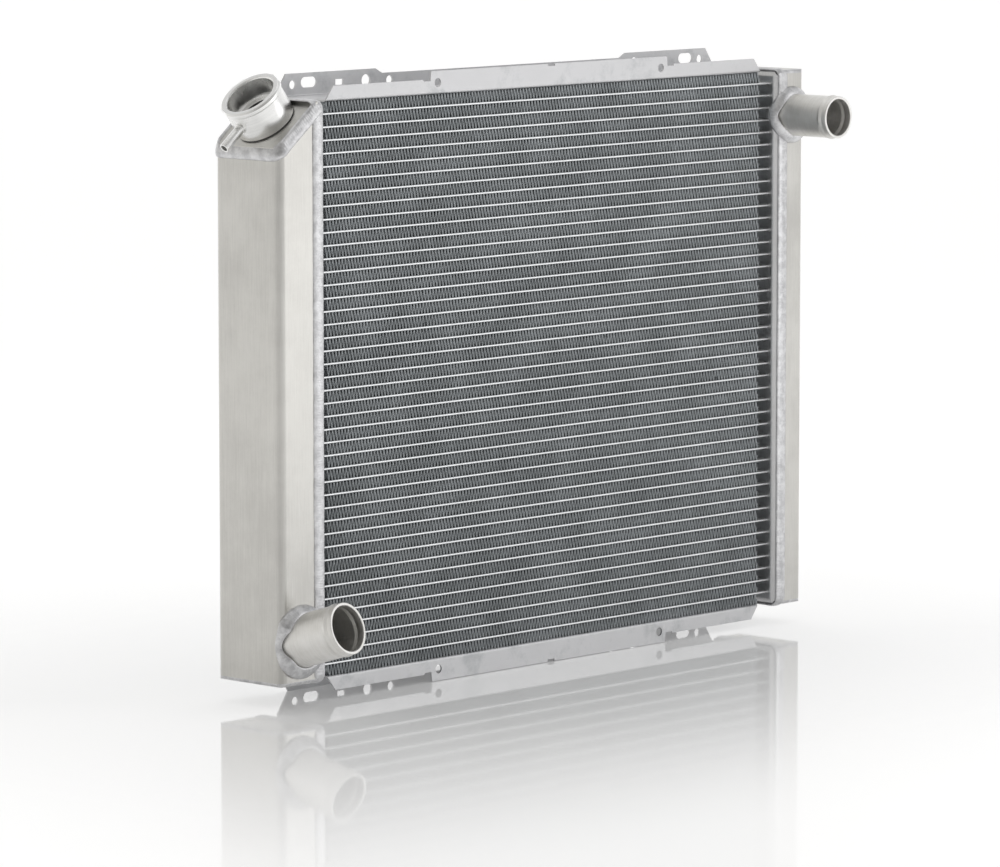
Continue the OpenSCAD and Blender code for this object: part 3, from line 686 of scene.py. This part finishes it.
makeWelds()
print("welds made")


# How far a node's own vertices reach along an axis from a point
def reach(node, origin, axis):
    return max((v.co - origin).dot(axis) for v in nodes[node].data.vertices)


def endFrame(node, mount):
    origin, axis = Vector(mount["pos_m"]), Vector(mount["axis"]).normalized()
    far = reach(node, origin, axis)
    near = -reach(node, origin, -axis)
    return axisFrame(origin + axis * far, axis), far - near


necks = {
    "wall": 2.5 * mm, "beadIn": 7.5 * mm, "beadHalf": 3.0 * mm, "beadRise": 0.58 * mm, "soft": 1.6 * mm,
    "lip": 0.7 * mm,
    "peak": 1.6,  # the bead's corner before it is rounded, in rises
}


def makeNeck(name, node, mount):
    place, long = endFrame(node, mount)
    r, wall, soft = mount["dims"]["r_mm"] * mm, necks["wall"], necks["soft"]
    beadAt, half, start = -necks["beadIn"], necks["beadHalf"], -long
    peak = necks["beadRise"] * necks["peak"]
    section = rounded([
        (r, start), (r, beadAt - half, soft), (r + peak, beadAt, soft), (r, beadAt + half, soft),
        (r, 0, necks["lip"]), (r - wall, 0, necks["lip"]), (r - wall, beadAt + half, soft),
        (r - wall + peak, beadAt, soft), (r - wall, beadAt - half, soft), (r - wall, start)])
    finishPiece(lathe(name, section, place, 160), [node], neckMetal)


filler = {
    "body": 26 * mm, "rim": 27.5 * mm, "rimDepth": 4.5 * mm, "bore": 21.4 * mm,
    "groove": 0.8 * mm, "grooveHigh": 1.0 * mm, "soft": 0.5 * mm,
    "lip": 1.4 * mm, "lipIn": 1.0 * mm, "lipDepth": 1.2 * mm, "lipSoft": 0.6 * mm,
    "seatDepth": 19 * mm, "seat": 16 * mm, "seatThick": 2.5 * mm, "seatSoft": 0.8 * mm,
    "spigot": 20.5 * mm, "spigotLong": 5 * mm, "spigotWall": 2.5 * mm,
    "height": 31 * mm, "notchWide": 13 * mm, "notchDeep": 1.5 * mm, "notchTurn": 60,
    # the groove at the foot and the dark ring in it, which is painted contact shadow: its depth's inner and
    # outer share, and its height's
    "joint": 1.1 * mm, "footSoft": 0.4 * mm, "edgeSoft": 0.3 * mm,
    "shadowIn": 1.3, "shadowOut": 0.4, "shadowHigh": 0.9, "shadowSink": 0.1 * mm,
}


def makeFiller():
    f = filler
    mount = mounts["filler_bore"]
    place = endFrame("filler_neck", mount)[0]
    base, rimLow, soft, lip = -f["height"], -f["rimDepth"], f["soft"], f["lipSoft"]
    foot, inner, grooveLow = f["body"] - f["joint"], f["spigot"] - f["spigotWall"], rimLow - f["grooveHigh"]
    section = rounded([
        (inner, base - f["spigotLong"]), (f["spigot"], base - f["spigotLong"]),
        (f["spigot"], base), (foot, base), (foot, base + f["joint"]),
        (f["body"], base + f["joint"], f["footSoft"]), (f["body"], grooveLow, f["edgeSoft"]),
        (f["body"] - f["groove"], grooveLow), (f["body"] - f["groove"], rimLow),
        (f["rim"], rimLow, soft), (f["rim"], -f["lip"], lip), (f["rim"] - f["lip"], 0, lip),
        (f["bore"] + f["lipIn"], 0, lip), (f["bore"], -f["lipDepth"], lip),
        (f["bore"], -f["seatDepth"], f["seatSoft"]), (f["seat"], -f["seatDepth"], soft),
        (f["seat"], -f["seatDepth"] - f["seatThick"]),
        (inner, -f["seatDepth"] - f["seatThick"])], 4)

    def notched(angle, r, z):
        flat = f["rim"] - f["notchDeep"]
        turned = math.radians(f["notchTurn"]) - angle
        across, along = r * math.sin(turned), abs(r * math.cos(turned))
        return r * min(1, flat / along) if abs(across) < f["notchWide"] / 2 and z > rimLow - soft else r

    finishPiece(lathe("fillerNeck", section, place, 240, notched), ["filler_neck"], turnedMetal)
    # a near-black ring sunk in the groove at the foot: painted contact shadow where the neck meets the plate
    near, far = f["body"] - f["joint"] * f["shadowIn"], f["body"] - f["joint"] * f["shadowOut"]
    shadowLow, shadowHigh = base - f["shadowSink"], base + f["joint"] * f["shadowHigh"]
    shadowRing = rounded([(near, shadowLow), (far, shadowLow), (far, shadowHigh), (near, shadowHigh)])
    finishPiece(lathe("fillerJoint", shadowRing, place, 128), [], jointShade)


nipple = {
    "collar": 0.8 * mm, "collarLong": 2.2 * mm, "collarSoft": 0.3 * mm, "bore": 2.75 * mm, "root": 3.2 * mm,
    "waist": 0.3 * mm, "waistLong": 0.6 * mm, "waistEnd": 0.8 * mm, "lip": 0.5 * mm, "lipIn": 0.4 * mm,
}


def makeNipple():
    mount = mounts["overflow_spigot"]
    place, long = endFrame("overflow_nipple", mount)
    n = nipple
    r, bore, soft = mount["dims"]["r_mm"] * mm, n["bore"], n["collarSoft"]
    collar, waist, root = r + n["collar"], r - n["waist"], -long + n["root"]
    above = root + n["collarLong"]
    section = rounded([
        (r, -long), (r, root), (collar, root, soft), (collar, above, soft),
        (waist, above), (waist, above + n["waistLong"]), (r, above + n["waistEnd"]),
        (r, 0, n["lip"]), (bore, 0, n["lipIn"]), (bore, -long)], 4)
    finishPiece(lathe("overflowNipple", section, place, 72), ["overflow_nipple"], turnedMetal)


makeNeck("upperHoseNeck", "upper_hose_neck", mounts["upper_hose_spigot"])
makeNeck("lowerHoseNeck", "lower_hose_neck", mounts["lower_hose_spigot"])
makeFiller()
makeNipple()
print("turned pieces made")


stageLook = {
    "floor": 20.0, "floorTone": (0.90, 0.90, 0.90), "floorRough": 0.05, "floorGlow": 0.12,
    "mattGlow": 0.4, "mattRough": 0.6, "fade": (0.02, 0.6), "fadeMost": 0.8,
    # the surroundings, from the camera's side to the far side of the part
    "behind": (0.68, 0.73), "strength": 1.12, "above": 0.32, "aboveFrom": (0.2, 0.8),
    "leftFrom": (0.3, -0.5), "leftTone": (0.94, 0.92, 0.87), "leftMost": 0.6,
    "glow": [(0.0, (0.22, 0.22, 0.22)), (0.06, (0.38, 0.38, 0.38)), (0.17, (0.60, 0.60, 0.60)),
             (0.5, (0.67, 0.67, 0.67)), (0.75, (0.85, 0.85, 0.85)),
             (0.92, (1.0, 1.0, 1.0))],
}
view = {
    "away": Vector((-3819.9, -3526.6, 0)) * mm, "height": 829.75 * mm, "heading": 47.02, "pitch": 6.9,
    "lens": 213.8, "sensor": 36, "farthest": 100,
}


def makeFloor():
    size = stageLook["floor"]
    floor = meshPiece("floor", [(-size, -size, 0), (size, -size, 0), (size, size, 0), (-size, size, 0)],
                      [(0, 1, 2, 3)])
    material, g = newMaterial("glossWhite")
    low, high = cadBox
    spot = g.node("ShaderNodeSeparateXYZ", None, {"Vector": g.node("ShaderNodeTexCoord", out="Object")})
    beyond = (spot.out("X").math("ABSOLUTE") - high[0]).math(
        "MAXIMUM", spot.out("Y").math("ABSOLUTE") - high[1])
    common = {"Base Color": colour(*stageLook["floorTone"]), "Emission Color": colour(1, 1, 1)}
    gloss = g.node("ShaderNodeBsdfPrincipled", None, {
        **common, "Roughness": stageLook["floorRough"], "Emission Strength": stageLook["floorGlow"]})
    matt = g.node("ShaderNodeBsdfPrincipled", None, {
        **common, "Roughness": stageLook["mattRough"], "Emission Strength": stageLook["mattGlow"]})
    fade = g.step(beyond, *stageLook["fade"]) * stageLook["fadeMost"]
    mixed = g.node("ShaderNodeMixShader", None, {0: fade, 1: gloss, 2: matt})
    g.node("ShaderNodeOutputMaterial", None, {"Surface": mixed})
    floor.data.materials.append(material)


lamps = {
    "keySoft": {"place": (1.6, -2.6, 2.4), "target": (0, 0, 0.25), "size": (2.2, 1.6), "power": 11},
    "frontSoft": {"place": (0.75, -1.1, 0.35), "target": (-0.31, 0, 0.3), "size": (0.6, 0.6), "power": 0.9},
    "topSoft": {"place": (0, 0.2, 2.8), "target": (0, 0, 0.2), "size": (2.0, 2.0), "power": 5},
}


def areaLight(name, place, target, size, power):
    data = bpy.data.lights.new(name, "AREA")
    data.shape = "RECTANGLE"
    data.size, data.size_y = size
    data.energy = power
    light = bpy.data.objects.new(name, data)
    light.location = place
    light.rotation_euler = (Vector(target) - Vector(place)).to_track_quat("-Z", "Y").to_euler()
    bpy.context.scene.collection.objects.link(light)


def makeWorld():
    world = bpy.data.worlds.new("studio")
    world.use_nodes = True
    world.node_tree.nodes.clear()
    g = Graph(world.node_tree)
    seen = g.node("ShaderNodeLightPath", out="Is Camera Ray")
    direction = g.node("ShaderNodeTexCoord", out="Generated")
    axes = g.node("ShaderNodeSeparateXYZ", None, {"Vector": direction})
    behind = axes.out("X") * stageLook["behind"][0] + axes.out("Y") * stageLook["behind"][1]
    glow = g.node("ShaderNodeValToRGB", {"stops": stageLook["glow"]}, {"Fac": behind * 0.5 + 0.5})
    left = g.step(axes.out("X"), *stageLook["leftFrom"])
    glow = g.mixColour(left * stageLook["leftMost"], glow, colour(*stageLook["leftTone"]), "MULTIPLY")
    above = g.step(axes.out("Z"), *stageLook["aboveFrom"])
    glow = g.mixColour(above * stageLook["above"], glow, colour(0, 0, 0))
    tone = g.mixColour(seen, glow, colour(1, 1, 1))
    background = g.node("ShaderNodeBackground", None, {"Color": tone, "Strength": stageLook["strength"]})
    g.node("ShaderNodeOutputWorld", None, {"Surface": background})
    bpy.context.scene.world = world


def makeCamera():
    low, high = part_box("fin_strips")
    centre = (low + high) / 2
    data = bpy.data.cameras.new("camera")
    data.lens = view["lens"]
    data.sensor_width = view["sensor"]
    data.clip_end = view["farthest"]
    camera = bpy.data.objects.new("camera", data)
    camera.location = (centre.x + view["away"].x, centre.y + view["away"].y, view["height"])
    camera.rotation_euler = (math.radians(90 - view["pitch"]), 0, -math.radians(view["heading"]))
    bpy.context.scene.collection.objects.link(camera)
    bpy.context.scene.camera = camera


makeFloor()
makeWorld()
makeCamera()
for name, lamp in lamps.items():
    areaLight(name, **lamp)
bpy.context.scene.view_settings.view_transform = "Standard"
print("stage, light and camera set")


finishes = {
    "header": headerMetal, "tank_sheet": sheetMetal, "tube": tubeMetal, "fin": finMetal,
    "channel": channelMetal, "hose_neck": sheetMetal, "polished": headerMetal, "weld_bead": weldMetal,
    "drain_brass": brassMetal, "seal_rubber": sealRubber,
}


def finishNodes():
    for name, piece in nodes.items():
        for i, old in enumerate(piece.data.materials):
            found = [f for s, f in finishes.items() if old and s in old.name]
            if found:
                piece.data.materials[i] = found[0]
            else:
                print("no finish for", name, old.name if old else None)


finishNodes()
